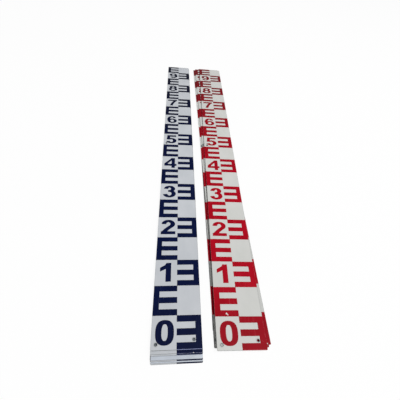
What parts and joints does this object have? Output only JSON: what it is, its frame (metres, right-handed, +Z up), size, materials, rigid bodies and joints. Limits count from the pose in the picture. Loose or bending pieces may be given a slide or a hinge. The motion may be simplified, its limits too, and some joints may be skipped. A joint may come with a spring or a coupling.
{
  "type": "staff gauge board set",
  "caption": "Loose stacks of flat white metal staff gauge boards with comb graduations and large numerals, one stack marked in blue and one in red.",
  "frame": {"origin": "centre of the underside of the whole set, on the surface that it lies on", "axes": "+Y along the blue boards from their 0 end to their 9 end, +X from the blue stack to the red stack, +Z up out of the marked faces"},
  "size_m": [0.2044, 1.044, 0.0139],
  "materials": {
    "plate": "sheet with a white back coat and bare sheared edges",
    "white_film": "satin white sheeting",
    "blue_film": "satin dark blue film",
    "red_film": "satin red film"
  },
  "bodies": {
    "blue_board_1": {"blue_plate_1": "plate", "blue_face_1": "white_film"},
    "blue_board_2": {"blue_plate_2": "plate", "blue_face_2": "white_film"},
    "blue_board_3": {"blue_plate_3": "plate", "blue_face_3": "white_film"},
    "blue_board_4": {"blue_plate_4": "plate", "blue_face_4": "white_film"},
    "blue_board_5": {"blue_plate_5": "plate", "blue_face_5": "white_film"},
    "blue_board_6": {"blue_plate_6": "plate", "blue_face_6": "white_film"},
    "blue_board_7": {"blue_plate_7": "plate", "blue_face_7": "white_film", "blue_combs": "blue_film", "blue_numeral_0": "blue_film", "blue_numeral_1": "blue_film", "blue_numeral_2": "blue_film", "blue_numeral_3": "blue_film", "blue_numeral_4": "blue_film", "blue_numeral_5": "blue_film", "blue_numeral_6": "blue_film", "blue_numeral_7": "blue_film", "blue_numeral_8": "blue_film", "blue_numeral_9": "blue_film"},
    "red_board_1": {"red_plate_1": "plate", "red_face_1": "white_film"},
    "red_board_2": {"red_plate_2": "plate", "red_face_2": "white_film"},
    "red_board_3": {"red_plate_3": "plate", "red_face_3": "white_film"},
    "red_board_4": {"red_plate_4": "plate", "red_face_4": "white_film"},
    "red_board_5": {"red_plate_5": "plate", "red_face_5": "white_film"},
    "red_board_6": {"red_plate_6": "plate", "red_face_6": "white_film"},
    "red_board_7": {"red_plate_7": "plate", "red_face_7": "white_film", "red_combs": "red_film", "red_numeral_0": "red_film", "red_numeral_1": "red_film", "red_numeral_2": "red_film", "red_numeral_3": "red_film", "red_numeral_4": "red_film", "red_numeral_5": "red_film", "red_numeral_6": "red_film", "red_numeral_7": "red_film", "red_numeral_8": "red_film", "red_numeral_9": "red_film"}
  },
  "joints": [
    {"name": "blue_board_2_lift", "type": "slide", "parent": "blue_board_1", "child": "blue_board_2", "axis": [0, 0, 1], "range_m": [0, 0.06]},
    {"name": "blue_board_3_lift", "type": "slide", "parent": "blue_board_2", "child": "blue_board_3", "axis": [0, 0, 1], "range_m": [0, 0.06]},
    {"name": "blue_board_4_lift", "type": "slide", "parent": "blue_board_3", "child": "blue_board_4", "axis": [0, 0, 1], "range_m": [0, 0.06]},
    {"name": "blue_board_5_lift", "type": "slide", "parent": "blue_board_4", "child": "blue_board_5", "axis": [0, 0, 1], "range_m": [0, 0.06]},
    {"name": "blue_board_6_lift", "type": "slide", "parent": "blue_board_5", "child": "blue_board_6", "axis": [0, 0, 1], "range_m": [0, 0.06]},
    {"name": "blue_board_7_lift", "type": "slide", "parent": "blue_board_6", "child": "blue_board_7", "axis": [0, 0, 1], "range_m": [0, 0.06]},
    {"name": "red_board_1_lift", "type": "slide", "parent": "blue_board_1", "child": "red_board_1", "axis": [0, 0, 1], "range_m": [0, 0.06]},
    {"name": "red_board_2_lift", "type": "slide", "parent": "red_board_1", "child": "red_board_2", "axis": [0, 0, 1], "range_m": [0, 0.06]},
    {"name": "red_board_3_lift", "type": "slide", "parent": "red_board_2", "child": "red_board_3", "axis": [0, 0, 1], "range_m": [0, 0.06]},
    {"name": "red_board_4_lift", "type": "slide", "parent": "red_board_3", "child": "red_board_4", "axis": [0, 0, 1], "range_m": [0, 0.06]},
    {"name": "red_board_5_lift", "type": "slide", "parent": "red_board_4", "child": "red_board_5", "axis": [0, 0, 1], "range_m": [0, 0.06]},
    {"name": "red_board_6_lift", "type": "slide", "parent": "red_board_5", "child": "red_board_6", "axis": [0, 0, 1], "range_m": [0, 0.06]},
    {"name": "red_board_7_lift", "type": "slide", "parent": "red_board_6", "child": "red_board_7", "axis": [0, 0, 1], "range_m": [0, 0.06]}
  ]
}
